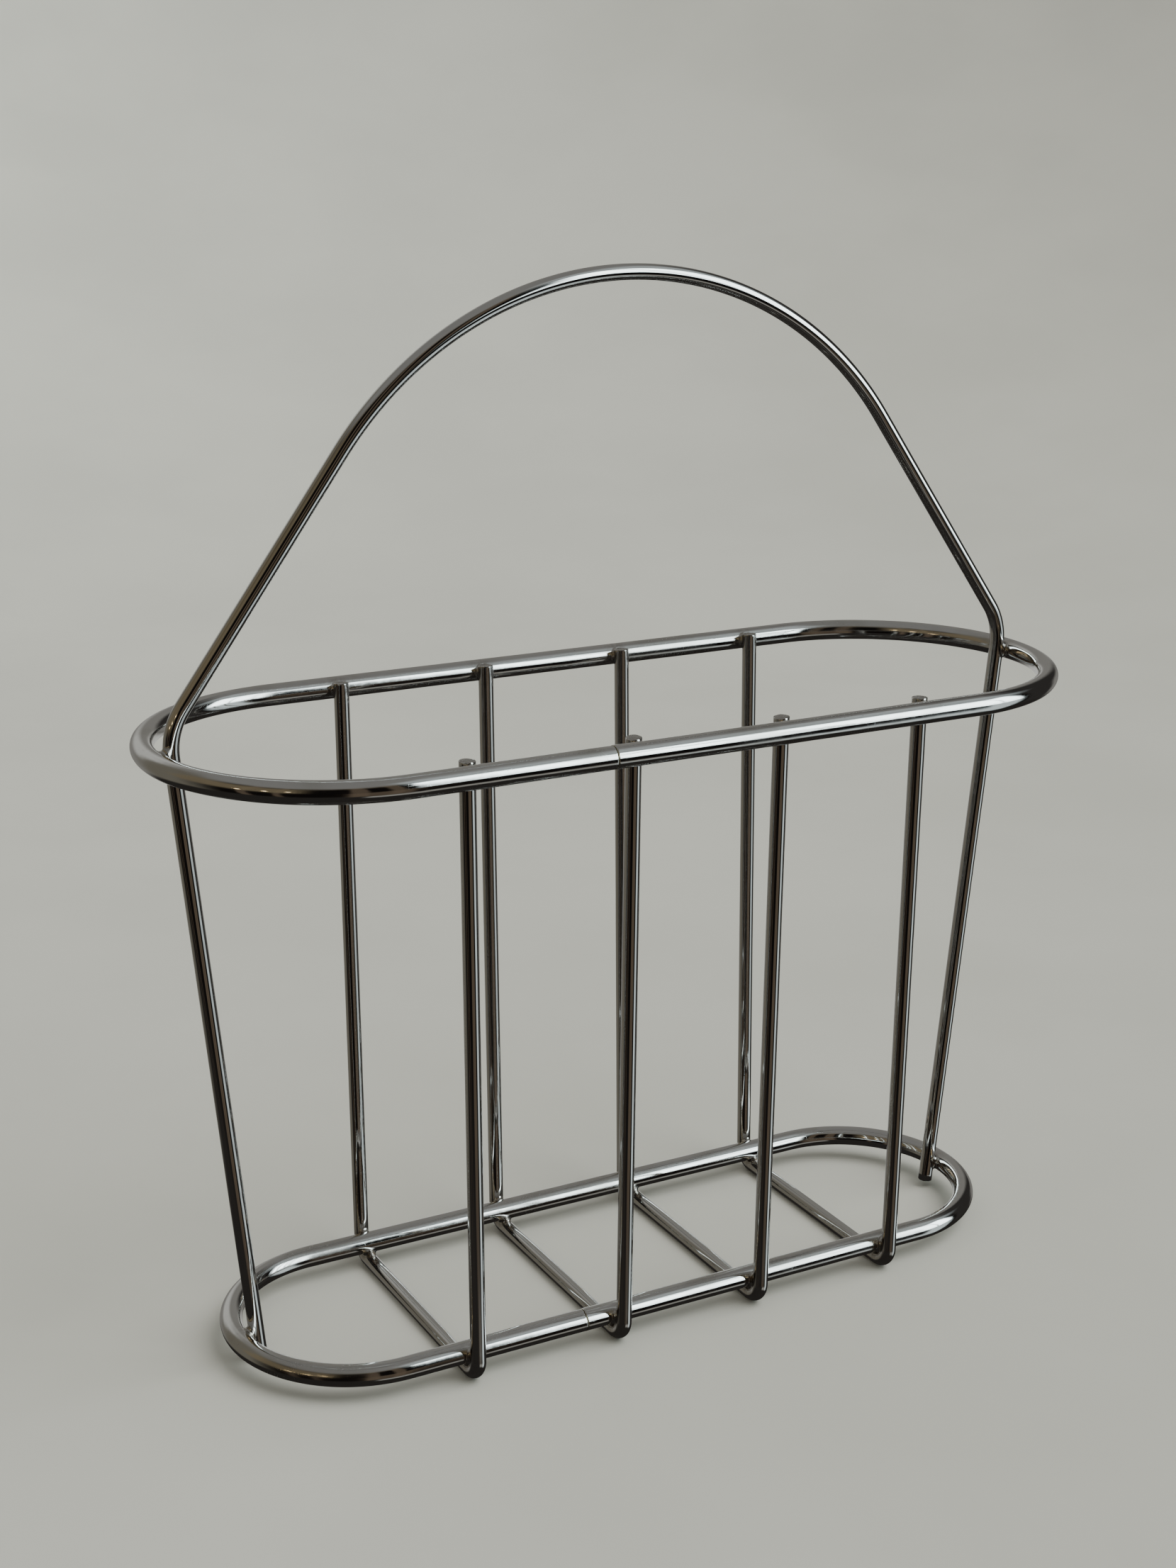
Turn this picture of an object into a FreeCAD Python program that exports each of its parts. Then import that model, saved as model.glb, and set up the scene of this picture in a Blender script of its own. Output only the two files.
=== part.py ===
"""Magazine rack of bent and brazed chromed steel.

Two obround tube rings, one above the other, are held apart by four U-shaped rods and by one long
rod that stands inside both rings' ends and arches over them as the carrying handle.

Millimetres. The origin is on the floor under the middle of the rings: X runs along the rack,
Y from its front to its back, Z up.
"""
import FreeCAD, Part
import math
import os

Vector = FreeCAD.Vector

# ---- driving dimensions ------------------------------------------------------------------------

rod_radius = 3.5            # U-rods and handle, 7 mm round steel rod
tube_radius = 5.0           # both rings, 10 mm steel tube
tube_wall = 1.0
braze_gap = 0.1             # film of braze between two pieces at their nearest point

upper_half_width = 80.5     # upper ring, centreline, front to back
upper_half_straight = 137.0  # half of each straight run
upper_height = 281.0        # centreline above the floor
lower_half_width = 56.5
lower_half_straight = 135.0

rod_pitch = 72.5            # between neighbouring U-rods
rod_row_centre = 3.5        # the row stands a little right of the middle
front_leg_shift = (-5.5, -2.0, -2.0, -2.0)  # sideways lean of each front leg, at the upper ring
front_leg_height = 286.0    # cut ends, level with the top of the upper ring
back_leg_height = 285.2     # dressed slightly lower

knee_height = {-1: 292.5, 1: 295.0}  # left and right, where the handle turns inwards
knee_radius = 30.0
handle_height = 468.0       # centreline at the top of the arch
arch_radius = 164.5
arch_offset = 1.0           # the arch stands this far right of the middle
handle_end_height = 3.5     # the rod's two cut ends stop clear of the floor

end_chamfer = 0.5           # broken edge on every cut end
seam_gap = 0.2              # butt joint in each ring
seam_proud = 0.05           # how far the filler in it stands out
upper_seam_x = -49.0        # both butt joints are in the front straight runs
lower_seam_x = -49.0
spigot_radius = 3.9         # plug inside each butt joint
spigot_length = 36.0

braze_radius = 4.0          # reach of the fillet around a rod-to-ring contact
foot_braze_radius = 5.0     # larger pools where the U-rods cradle the lower ring

# ---- worked out from them ----------------------------------------------------------------------

contact = tube_radius + rod_radius + braze_gap      # from a ring's axis to the rod beside it
lower_height = 2 * rod_radius + tube_radius + braze_gap
rod_count = len(front_leg_shift)
rod_x = [rod_row_centre + rod_pitch * (i - (rod_count - 1) / 2) for i in range(rod_count)]
handle_foot_x = lower_half_straight + lower_half_width - contact
handle_waist_x = upper_half_straight + upper_half_width - contact

along_rack = Vector(1, 0, 0)
askew = Vector(2, 1, 0.5)   # keeps a ball's poles and seam away from the surfaces that cut it


def line(a, b):
    return Part.LineSegment(a, b).toShape()


def arc(a, middle, b):
    return Part.Arc(a, middle, b).toShape()


def swept(edges, radius):
    """A round bar of the given radius along tangent lines and arcs."""
    start = edges[0].FirstParameter
    section = Part.Circle(edges[0].valueAt(start), edges[0].tangentAt(start), radius)
    return Part.Wire(edges).makePipeShell([Part.Wire(section.toShape())], True, False)


def with_broken_edges(bar, radius, ends):
    """Chamfer a bar's flat cut ends; ends are the points at the middle of the cuts."""
    rims = [edge for edge in bar.Edges
            if isinstance(edge.Curve, Part.Circle)
            and math.isclose(edge.Curve.Radius, radius, abs_tol=1e-4)
            and any(edge.Curve.Center.distanceToPoint(point) < 1e-3 for point in ends)]
    return bar.makeChamfer(end_chamfer, rims)


# ---- rings -------------------------------------------------------------------------------------

def ring_path(half_straight, half_width, height, seam_x):
    """Obround centreline, open at the butt joint in its front run, going round from the joint."""
    def at(x, y):
        return Vector(x, y, height)

    tip = half_straight + half_width
    return [
        line(at(seam_x + seam_gap / 2, -half_width), at(half_straight, -half_width)),
        arc(at(half_straight, -half_width), at(tip, 0), at(half_straight, half_width)),
        line(at(half_straight, half_width), at(-half_straight, half_width)),
        arc(at(-half_straight, half_width), at(-tip, 0), at(-half_straight, -half_width)),
        line(at(-half_straight, -half_width), at(seam_x - seam_gap / 2, -half_width)),
    ]


def make_ring(path):
    """Hollow tube, bent once round and butted."""
    return swept(path, tube_radius).cut(swept(path, tube_radius - tube_wall))


def make_spigot(half_width, height, seam_x):
    """Solid plug that holds a ring's two ends in line."""
    start = Vector(seam_x - spigot_length / 2, -half_width, height)
    end = start + along_rack * spigot_length
    plug = Part.makeCylinder(spigot_radius, spigot_length, start, along_rack)
    return with_broken_edges(plug, spigot_radius, [start, end])


def make_seam_filler(half_width, height, seam_x):
    """Filler in the butt joint around the spigot."""
    start = Vector(seam_x - seam_gap / 2, -half_width, height)
    outer = Part.makeCylinder(tube_radius + seam_proud, seam_gap, start, along_rack)
    return outer.cut(Part.makeCylinder(spigot_radius, seam_gap, start, along_rack))


# ---- U-rods ------------------------------------------------------------------------------------

def leg_splay():
    """Angle from upright of a leg that passes outside the lower ring and inside the upper one."""
    across = upper_half_width - lower_half_width
    up = upper_height - lower_height
    return math.acos(2 * contact / math.hypot(across, up)) - math.atan2(up, across)


def leg_y(height):
    """Distance of a leg's axis from the middle plane."""
    splay = leg_splay()
    foot_y = lower_half_width + contact * math.cos(splay)
    foot_z = lower_height + contact * math.sin(splay)
    return foot_y + (height - foot_z) * math.tan(splay)


def swung(x, shift, y, z):
    """A point of a U-rod's leg that leans sideways, turned about the bar that lies on the floor."""
    bar_z = rod_radius
    lean = math.asin(shift / (upper_height - bar_z))
    return Vector(x + (z - bar_z) * math.sin(lean), y, bar_z + (z - bar_z) * math.cos(lean))


def u_rod_path(x, shift):
    """Down the front leg, under the lower ring and up the back leg."""
    splay = leg_splay()

    def leg(side, height):
        return swung(x, shift if side < 0 else 0, side * leg_y(height), height)

    def bend(side, angle):
        return swung(x, shift if side < 0 else 0,
                     side * (lower_half_width + contact * math.cos(angle)),
                     lower_height + contact * math.sin(angle))

    middle = (splay - math.pi / 2) / 2
    front = Vector(x, -lower_half_width, rod_radius)
    back = Vector(x, lower_half_width, rod_radius)
    return [
        line(leg(-1, front_leg_height), bend(-1, splay)),
        arc(bend(-1, splay), bend(-1, middle), front),
        line(front, back),
        arc(back, bend(1, middle), bend(1, splay)),
        line(bend(1, splay), leg(1, back_leg_height)),
    ]


def make_u_rod(path):
    ends = [path[0].valueAt(path[0].FirstParameter), path[-1].valueAt(path[-1].LastParameter)]
    return with_broken_edges(swept(path, rod_radius), rod_radius, ends)


# ---- handle ------------------------------------------------------------------------------------

def handle_leg_x(height):
    """Distance of the handle's legs from the middle: they splay outwards going up."""
    splay = (handle_waist_x - handle_foot_x) / (upper_height - lower_height)
    return handle_foot_x + splay * (height - lower_height)


def handle_end(side):
    return Vector(side * handle_leg_x(handle_end_height), 0, handle_end_height)


def handle_side(side):
    """Cut end, start, middle and end of the knee's arc, and where the arch begins."""
    foot = handle_end(side)
    height = knee_height[side]
    knee = Vector(side * handle_leg_x(height), 0, height)

    centre = Vector(arch_offset, 0, handle_height - arch_radius)
    from_centre = knee - centre
    angle = math.atan2(from_centre.z, from_centre.x) + side * math.acos(arch_radius / from_centre.Length)
    arch_start = centre + Vector(math.cos(angle), 0, math.sin(angle)) * arch_radius

    down = (foot - knee).normalize()
    inwards = (arch_start - knee).normalize()
    half_angle = down.getAngle(inwards) / 2
    setback = knee_radius / math.tan(half_angle)
    to_middle = (down + inwards).normalize() * (knee_radius / math.sin(half_angle) - knee_radius)
    return foot, knee + down * setback, knee + to_middle, knee + inwards * setback, arch_start


def handle_path():
    """Up the left leg, over the arch and down the right leg, all in the plane y = 0."""
    left_foot, left_low, left_knee, left_high, left_arch = handle_side(-1)
    right_foot, right_low, right_knee, right_high, right_arch = handle_side(1)
    return [
        line(left_foot, left_low),
        arc(left_low, left_knee, left_high),
        line(left_high, left_arch),
        arc(left_arch, Vector(arch_offset, 0, handle_height), right_arch),
        line(right_arch, right_high),
        arc(right_high, right_knee, right_low),
        line(right_low, right_foot),
    ]


# ---- braze fillets -----------------------------------------------------------------------------

def pool(centre, radius, *neighbours):
    """Braze that fills a ball around a contact, less the pieces that it joins."""
    return Part.makeSphere(radius, centre, askew).cut(list(neighbours))


def upper_contact(side, x, shift):
    """Middle of the braze film between a leg and the inside of the upper ring."""
    reach = tube_radius + braze_gap / 2
    y = upper_half_width - reach * math.cos(leg_splay())
    z = upper_height - reach * math.sin(leg_splay())
    return swung(x, shift if side < 0 else 0, side * y, z)


def foot_contact(side, x):
    """Middle of the braze film between a U-rod's bar and the underside of the lower ring."""
    return Vector(x, side * lower_half_width, 2 * rod_radius + braze_gap / 2)


# ---- the whole rack ----------------------------------------------------------------------------

def make_parts():
    upper_path = ring_path(upper_half_straight, upper_half_width, upper_height, upper_seam_x)
    lower_path = ring_path(lower_half_straight, lower_half_width, lower_height, lower_seam_x)
    upper_bar = swept(upper_path, tube_radius)
    lower_bar = swept(lower_path, tube_radius)
    handle = with_broken_edges(swept(handle_path(), rod_radius), rod_radius,
                               [handle_end(-1), handle_end(1)])
    u_rods = [make_u_rod(u_rod_path(x, shift)) for x, shift in zip(rod_x, front_leg_shift)]
    places = list(zip(rod_x, front_leg_shift, u_rods))

    parts = {
        "upper_ring": make_ring(upper_path),
        "lower_ring": make_ring(lower_path),
        "upper_ring_spigot": make_spigot(upper_half_width, upper_height, upper_seam_x),
        "lower_ring_spigot": make_spigot(lower_half_width, lower_height, lower_seam_x),
        "handle_rod": handle,
        "braze_ring_seams": Part.makeCompound([
            make_seam_filler(upper_half_width, upper_height, upper_seam_x),
            make_seam_filler(lower_half_width, lower_height, lower_seam_x)]),
    }
    for number, u_rod in enumerate(u_rods, 1):
        parts["u_rod_%d" % number] = u_rod

    for name, side in (("front", -1), ("back", 1)):
        parts["braze_upper_" + name] = Part.makeCompound([
            pool(upper_contact(side, x, shift), braze_radius, upper_bar, u_rod)
            for x, shift, u_rod in places])
        parts["braze_foot_" + name] = Part.makeCompound([
            pool(foot_contact(side, x), foot_braze_radius, lower_bar, u_rod)
            for x, shift, u_rod in places])

    film_x = rod_radius + braze_gap / 2
    for name, bar, leg_x, height in (("upper", upper_bar, handle_waist_x, upper_height),
                                     ("lower", lower_bar, handle_foot_x, lower_height)):
        parts["braze_handle_" + name] = Part.makeCompound([
            pool(Vector(side * (leg_x + film_x), 0, height), braze_radius, bar, handle)
            for side in (-1, 1)])
    return parts


os.makedirs("parts", exist_ok=True)
for name, shape in make_parts().items():
    shape.exportStep("parts/%s.step" % name)
    print(name, "solids:", len(shape.Solids), "volume:", round(shape.Volume, 1), "valid:", shape.isValid())
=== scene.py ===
import math

import bpy
from mathutils import Matrix, Vector, noise


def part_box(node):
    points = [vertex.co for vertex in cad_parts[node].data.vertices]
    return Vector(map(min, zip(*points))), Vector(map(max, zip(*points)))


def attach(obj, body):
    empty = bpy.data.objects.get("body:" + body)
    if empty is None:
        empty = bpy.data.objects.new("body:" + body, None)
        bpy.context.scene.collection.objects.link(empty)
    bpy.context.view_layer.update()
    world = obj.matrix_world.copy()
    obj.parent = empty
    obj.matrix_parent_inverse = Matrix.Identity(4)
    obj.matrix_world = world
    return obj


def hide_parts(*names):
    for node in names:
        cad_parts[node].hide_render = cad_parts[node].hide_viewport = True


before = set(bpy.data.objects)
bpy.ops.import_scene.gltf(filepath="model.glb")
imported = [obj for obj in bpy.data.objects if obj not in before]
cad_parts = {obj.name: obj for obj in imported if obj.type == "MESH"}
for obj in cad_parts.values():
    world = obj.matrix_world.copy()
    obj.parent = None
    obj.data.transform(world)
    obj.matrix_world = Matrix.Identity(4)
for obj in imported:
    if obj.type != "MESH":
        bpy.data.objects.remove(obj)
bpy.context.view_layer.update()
print("frame loaded:", len(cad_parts), "nodes")

mm = 0.001


# camera

camera = {
    "place": (-0.4851, -0.8637, 0.5359),
    "lens": 52.54,      # mm, on a sensor 36 mm high
    "turn": 28.447,     # degrees to the right of straight ahead
    "tilt": -16.541,
    "roll": 0.264,
}


def makeCamera():
    data = bpy.data.cameras.new("camera")
    data.sensor_fit = "VERTICAL"
    data.sensor_height = 36
    data.sensor_width = 36
    data.lens = camera["lens"]
    data.clip_start = 0.01
    data.clip_end = 50
    eye = bpy.data.objects.new("camera", data)
    bpy.context.scene.collection.objects.link(eye)
    eye.matrix_world = (Matrix.Translation(camera["place"])
                        @ Matrix.Rotation(-math.radians(camera["turn"]), 4, "Z")
                        @ Matrix.Rotation(math.radians(90 + camera["tilt"]), 4, "X")
                        @ Matrix.Rotation(math.radians(camera["roll"]), 4, "Z"))
    bpy.context.scene.camera = eye


makeCamera()


# node trees written as sums

class Wire:
    # a socket that can stand in an expression; each operator adds its Math node
    def __init__(self, tree, socket):
        self.tree = tree
        self.socket = socket

    def maths(self, operation, first, second):
        return self.tree.node("ShaderNodeMath", {"operation": operation}, {0: first, 1: second})

    def __add__(self, other):
        return self.maths("ADD", self, other)

    def __radd__(self, other):
        return self.maths("ADD", other, self)

    def __sub__(self, other):
        return self.maths("SUBTRACT", self, other)

    def __rsub__(self, other):
        return self.maths("SUBTRACT", other, self)

    def __mul__(self, other):
        return self.maths("MULTIPLY", self, other)

    def __rmul__(self, other):
        return self.maths("MULTIPLY", other, self)

    def __truediv__(self, other):
        return self.maths("DIVIDE", self, other)

    def __abs__(self):
        return self.tree.node("ShaderNodeMath", {"operation": "ABSOLUTE"}, {0: self})


class Tree:
    def __init__(self, nodeTree):
        self.nodes = nodeTree.nodes
        self.links = nodeTree.links
        self.nodes.clear()

    def node(self, kind, settings=None, values=None, out=0):
        # settings are set first, then each socket gets its value or its link
        made = self.nodes.new(kind)
        for name, setting in (settings or {}).items():
            setattr(made, name, setting)
        for name, value in (values or {}).items():
            socket = made.inputs[name]
            if isinstance(value, Wire):
                self.links.new(value.socket, socket)
            elif socket.type == "RGBA" and len(value) == 3:
                socket.default_value = (*value, 1)
            else:
                socket.default_value = value
        return Wire(self, made.outputs[out]) if made.outputs else None

    def rise(self, value, low, high):
        # 0 below low, 1 above high, smooth between; low may be the larger one
        return self.node("ShaderNodeMapRange", {"interpolation_type": "SMOOTHSTEP"},
                         {"Value": value, "From Min": low, "From Max": high})

    def mix(self, share, first, second):
        return self.node("ShaderNodeMix", {"data_type": "RGBA", "clamp_factor": True},
                         {0: share, 6: first, 7: second}, 2)

    def noise(self, place, scale, detail=2.0, roughness=0.5):
        return self.node("ShaderNodeTexNoise", {},
                         {"Vector": place, "Scale": scale, "Detail": detail, "Roughness": roughness})

    def bump(self, height, strength, distance, under=None, inwards=False):
        # one layer of relief on top of another; distance in metres
        values = {"Strength": strength, "Distance": distance, "Height": height}
        if under:
            values["Normal"] = under
        return self.node("ShaderNodeBump", {"invert": inwards}, values)

    def stretched(self, place, scale):
        return self.node("ShaderNodeVectorMath", {"operation": "MULTIPLY"}, {0: place, 1: scale})


# finishes

def newFinish(name):
    finish = bpy.data.materials.new(name)
    finish.use_nodes = True
    tree = Tree(finish.node_tree)
    return finish, tree, tree.node("ShaderNodeTexCoord", out="Object")


def finishMetal(tree, colour, roughness, bump):
    shader = tree.node("ShaderNodeBsdfPrincipled", {},
                       {"Base Color": colour, "Metallic": 1.0, "Roughness": roughness, "Normal": bump},
                       "BSDF")
    tree.node("ShaderNodeOutputMaterial", {}, {"Surface": shader})


chromeFinish = {
    "clean": (0.80, 0.80, 0.79),
    "hazed": (0.66, 0.65, 0.62),
    "stained": (0.30, 0.25, 0.20),
    "pitted": (0.16, 0.14, 0.12),
    "dressed": (0.42, 0.41, 0.39),
    "hazeRoughness": 0.13,
}


def makeChrome(name, gloss, lines=0.0, haze=0.5, pitting=0.5, dents=1.0, wear=1.0):
    # gloss: roughness of the cleanest plate; lines: polishing and drawing marks along the bar;
    # haze: dull patches; pitting: pin holes; dents: slow unevenness; wear: scratches and fine grain
    finish, tree, place = newFinish(name)
    grain = tree.node("ShaderNodeAttribute", {"attribute_name": "grain"}, out="Vector")
    stain = tree.node("ShaderNodeAttribute", {"attribute_name": "stain"}, out="Fac")
    dressed = tree.node("ShaderNodeAttribute", {"attribute_name": "dressed"}, out="Fac")

    patches = tree.rise(tree.noise(place, 24, 3, 0.55), 0.47, 0.68) * haze
    cloud = tree.noise(place, 260, 4, 0.6)
    speckle = tree.noise(place, 1900, 2, 0.6)
    drawn = tree.noise(tree.stretched(grain, (1.0, 1.0, 0.012)), 1500, 3, 0.6)
    rubbed = tree.noise(tree.stretched(grain, (0.25, 0.25, 1.0)), 520, 3, 0.6)

    # hairline scratches are where a stretched noise crosses its middle value
    along = tree.noise(tree.stretched(grain, (1.0, 1.0, 0.05)), 340, 1, 0.4)
    across = tree.noise(tree.stretched(grain, (0.35, 0.35, 1.0)), 160, 1, 0.4)
    where = tree.rise(tree.noise(place, 70, 2, 0.5), 0.52, 0.62)
    scratches = (tree.rise(abs(along - 0.5), 0.010, 0.002)
                 + tree.rise(abs(across - 0.5), 0.006, 0.001)) * where

    pits = tree.node("ShaderNodeTexVoronoi", {"feature": "F1"},
                     {"Vector": place, "Scale": 620, "Randomness": 1.0}, "Distance")
    pits = tree.rise(pits, 0.17, 0.07) * tree.rise(tree.noise(place, 45, 2, 0.5), 0.5, 0.64) * pitting

    dirt = stain * tree.rise(tree.noise(place, 330, 4, 0.65), 0.32, 0.6)
    colour = tree.mix(patches * 0.8 + cloud * 0.12, chromeFinish["clean"], chromeFinish["hazed"])
    colour = tree.mix(dirt * 0.75, colour, chromeFinish["stained"])
    colour = tree.mix(pits * 0.8, colour, chromeFinish["pitted"])
    colour = tree.mix(dressed * tree.rise(speckle, 0.35, 0.6) * 0.45, colour, chromeFinish["dressed"])

    roughness = (gloss + patches * chromeFinish["hazeRoughness"]
                 + tree.rise(cloud, 0.45, 0.75) * (0.035 * wear)
                 + tree.rise(drawn, 0.4, 0.7) * (0.05 * lines)
                 + scratches * (0.1 * wear) + pits * 0.3 + dirt * 0.2 + dressed * 0.2)

    waves = tree.noise(place, 95, 2, 0.5)
    dapples = tree.noise(tree.stretched(grain, (1.0, 1.0, 0.45)), 330, 2, 0.5)
    bump = tree.bump(waves, 0.5 * dents, 0.0001)
    bump = tree.bump(dapples, 0.5 * dents, 0.00002, bump)
    bump = tree.bump(drawn, 0.22 * lines + 0.02, 0.000012, bump)
    bump = tree.bump(cloud * 0.6 + rubbed * 0.5, 0.2 * wear, 0.00001, bump)
    bump = tree.bump(pits + scratches * (0.2 * wear), 0.6, 0.00003, bump, inwards=True)
    bump = tree.bump(dressed * tree.noise(place, 900, 3, 0.6), 0.8, 0.00025, bump)
    finishMetal(tree, colour, roughness, bump)
    return finish


brazeFinish = {
    "plated": (0.70, 0.69, 0.66),
    "brown": (0.20, 0.145, 0.10),
    "gold": (0.42, 0.33, 0.19),
}


def makeBraze(name, brownness):
    # plated over in the open, brown and pitted in the hollow between the two pieces
    finish, tree, place = newFinish(name)
    hollow = tree.node("ShaderNodeAttribute", {"attribute_name": "stain"}, out="Fac")
    cloud = tree.noise(place, 380, 4, 0.6)
    ripple = tree.noise(place, 900, 3, 0.55)
    flux = tree.rise(cloud, 0.42, 0.62) * hollow * brownness
    colour = tree.mix(flux, brazeFinish["plated"], brazeFinish["brown"])
    colour = tree.mix(tree.rise(ripple, 0.62, 0.75) * 0.35, colour, brazeFinish["gold"])
    roughness = 0.10 + flux * 0.38 + tree.rise(ripple, 0.4, 0.8) * 0.16
    bump = tree.bump(cloud, 0.55, 0.0002)
    bump = tree.bump(ripple, 0.35, 0.00006, bump)
    finishMetal(tree, colour, roughness, bump)
    return finish


solderFinish = {"dull": (0.22, 0.19, 0.12), "bright": (0.66, 0.61, 0.42)}


def makeSolder():
    # filler that stands in the butt joints, yellower than the plate
    finish, tree, place = newFinish("solder")
    cloud = tree.noise(place, 1100, 3, 0.6)
    colour = tree.mix(tree.rise(cloud, 0.38, 0.62), solderFinish["dull"], solderFinish["bright"])
    bump = tree.bump(cloud, 0.6, 0.0001)
    finishMetal(tree, colour, 0.22 + cloud * 0.3, bump)
    return finish


turnedFinish = {"bright": (0.50, 0.50, 0.51), "oiled": (0.34, 0.32, 0.30)}


def makeTurnedSteel():
    # the plugs inside the ring joints, left as turned
    finish, tree, place = newFinish("turnedSteel")
    rings = tree.noise(tree.stretched(place, (1.0, 0.02, 0.02)), 2600, 2, 0.5)
    cloud = tree.noise(place, 120, 3, 0.6)
    colour = tree.mix(cloud, turnedFinish["bright"], turnedFinish["oiled"])
    bump = tree.bump(rings, 0.5, 0.00003)
    finishMetal(tree, colour, 0.25 + rings * 0.2, bump)
    return finish


ringChrome = makeChrome("ringChrome", 0.052, lines=0.8, haze=0.9, pitting=0.45, dents=1.1, wear=0.8)
rodChrome = makeChrome("rodChrome", 0.035, lines=0.8, haze=0.25, pitting=0.04, dents=0.14, wear=0.15)
brazeOpen = makeBraze("brazeOpen", 0.45)
brazeHollow = makeBraze("brazeHollow", 1.0)
solder = makeSolder()
turnedSteel = makeTurnedSteel()
print("finishes made")


# centre lines: a run is a straight stretch or an arc

def lineRun(start, end):
    return {"start": start, "way": (end - start).normalized(), "length": (end - start).length}


def arcRun(centre, spoke, quarter, angle):
    # from centre + spoke, turning towards centre + quarter
    return {"centre": centre, "spoke": spoke, "quarter": quarter, "angle": angle,
            "length": spoke.length * angle}


def onRun(run, distance):
    if "way" in run:
        return run["start"] + run["way"] * distance, run["way"].copy()
    turn = distance / run["spoke"].length
    point = run["centre"] + run["spoke"] * math.cos(turn) + run["quarter"] * math.sin(turn)
    way = run["quarter"] * math.cos(turn) - run["spoke"] * math.sin(turn)
    return point, way.normalized()


def onRuns(runs, distance):
    for run in runs[:-1]:
        if distance <= run["length"]:
            return onRun(run, distance)
        distance -= run["length"]
    return onRun(runs[-1], min(distance, runs[-1]["length"]))


def nearestOnRuns(runs, point):
    best = None
    for run in runs:
        if "way" in run:
            distance = (point - run["start"]).dot(run["way"])
        else:
            out = point - run["centre"]
            radius = run["spoke"].length
            turn = math.atan2(out.dot(run["quarter"]), out.dot(run["spoke"]))
            if turn < (run["angle"] - 2 * math.pi) / 2:
                turn += 2 * math.pi
            distance = turn * radius
        place = onRun(run, min(max(distance, 0), run["length"]))[0]
        if best is None or (place - point).length < (best - point).length:
            best = place
    return best


def totalLength(runs):
    return sum(run["length"] for run in runs)


def marksAlong(runs, straightStep, arcStep, extra=()):
    # distances at which a bar gets a ring of points
    marks, start = set(extra), 0
    for run in runs:
        count = max(2, math.ceil(run["length"] / (straightStep if "way" in run else arcStep)))
        marks.update(start + run["length"] * i / count for i in range(count + 1))
        start += run["length"]
    spaced = []
    for mark in sorted(marks):
        if not spaced or mark - spaced[-1] > 1e-5:
            spaced.append(mark)
    return spaced


# meshes

def setPointValues(mesh, name, values, kind="FLOAT"):
    attribute = mesh.attributes.new(name, kind, "POINT")
    if kind == "FLOAT":
        attribute.data.foreach_set("value", values)
    else:
        attribute.data.foreach_set("vector", [number for value in values for number in value])


def makePiece(name, points, faces, finish, values=None, grain=None):
    mesh = bpy.data.meshes.new(name)
    mesh.from_pydata(points, [], faces)
    mesh.validate()
    for key in ("stain", "dressed"):
        setPointValues(mesh, key, (values or {}).get(key, [0.0] * len(points)))
    setPointValues(mesh, "grain", grain or points, "FLOAT_VECTOR")
    mesh.polygons.foreach_set("use_smooth", [True] * len(mesh.polygons))
    mesh.materials.append(finish)
    piece = bpy.data.objects.new(name, mesh)
    bpy.context.scene.collection.objects.link(piece)
    return piece


def stitch(faces, first, second, sides, flip=False):
    # a band of quads between two rings of points, by the number of each ring's first point
    for i in range(sides):
        j = (i + 1) % sides
        quad = (first + i, first + j, second + j, second + i)
        faces.append(quad[::-1] if flip else quad)


def sweep(runs, marks, side, radiusAt, sides, closed=False, ends=None, inner=None):
    # points round a centre line; radiusAt(distance, turn) gives the bar's radius there
    points, faces, grain = [], [], []

    def addRing(distance, scale=1.0, push=0.0, relief=None):
        centre, way = onRuns(runs, distance)
        out = (side - way * side.dot(way)).normalized()
        over = way.cross(out)
        first = len(points)
        for i in range(sides):
            turn = 2 * math.pi * i / sides
            spoke = out * math.cos(turn) + over * math.sin(turn)
            radius = radiusAt(distance, turn) * scale
            lift = relief(scale * math.cos(turn), scale * math.sin(turn)) if relief else 0.0
            points.append(centre + way * (push + lift) + spoke * radius)
            grain.append((radius * math.cos(turn), radius * math.sin(turn), distance))
        return first

    def addCap(distance, outwards, relief):
        # rounded edge and an uneven sheared face, from the bar's side to its middle
        rings = []
        for scale, back in ends["edge"]:
            rings.append(addRing(distance, scale, -outwards * back,
                                 lambda x, y: outwards * relief(x, y)))
        centre, way = onRuns(runs, distance)
        points.append(centre + way * outwards * relief(0, 0))
        grain.append((0, 0, distance))
        return rings, len(points) - 1

    body = [addRing(mark) for mark in marks]
    for first, second in zip(body, body[1:]):
        stitch(faces, first, second, sides)
    if closed:
        stitch(faces, body[-1], body[0], sides)
    else:
        for ring, distance, outwards, relief in ((body[0], marks[0], -1, ends["startRelief"]),
                                                 (body[-1], marks[-1], 1, ends["endRelief"])):
            rings, tip = addCap(distance + outwards * ends["trim"], outwards, relief)
            last = ring
            for nextRing in rings:
                stitch(faces, last, nextRing, sides, flip=outwards < 0)
                last = nextRing
            for i in range(sides):
                j = (i + 1) % sides
                face = (last + i, last + j, tip)
                faces.append(face[::-1] if outwards < 0 else face)
    if inner:
        wall = []
        for mark in marks[::2]:
            wall.append(addRing(mark, inner))
        for first, second in zip(wall, wall[1:] + wall[:1]):
            stitch(faces, first, second, sides, flip=True)
    return points, faces, grain


def wobble(point, scale, seed):
    return noise.noise(point * scale + Vector((seed * 7.3, seed * 3.1, seed * 1.7)))


# sizes and places, from the frame

rodLow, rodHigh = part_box("handle_rod")
rodRadius = (rodHigh.y - rodLow.y) / 2
seamLow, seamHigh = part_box("braze_ring_seams")
seamX = (seamLow.x + seamHigh.x) / 2


def ringSizes(node):
    low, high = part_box(node)
    tube = (high.z - low.z) / 2
    halfWidth = high.y - tube
    return {"tube": tube, "height": (low.z + high.z) / 2, "halfWidth": halfWidth,
            "halfStraight": high.x - tube - halfWidth}


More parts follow.
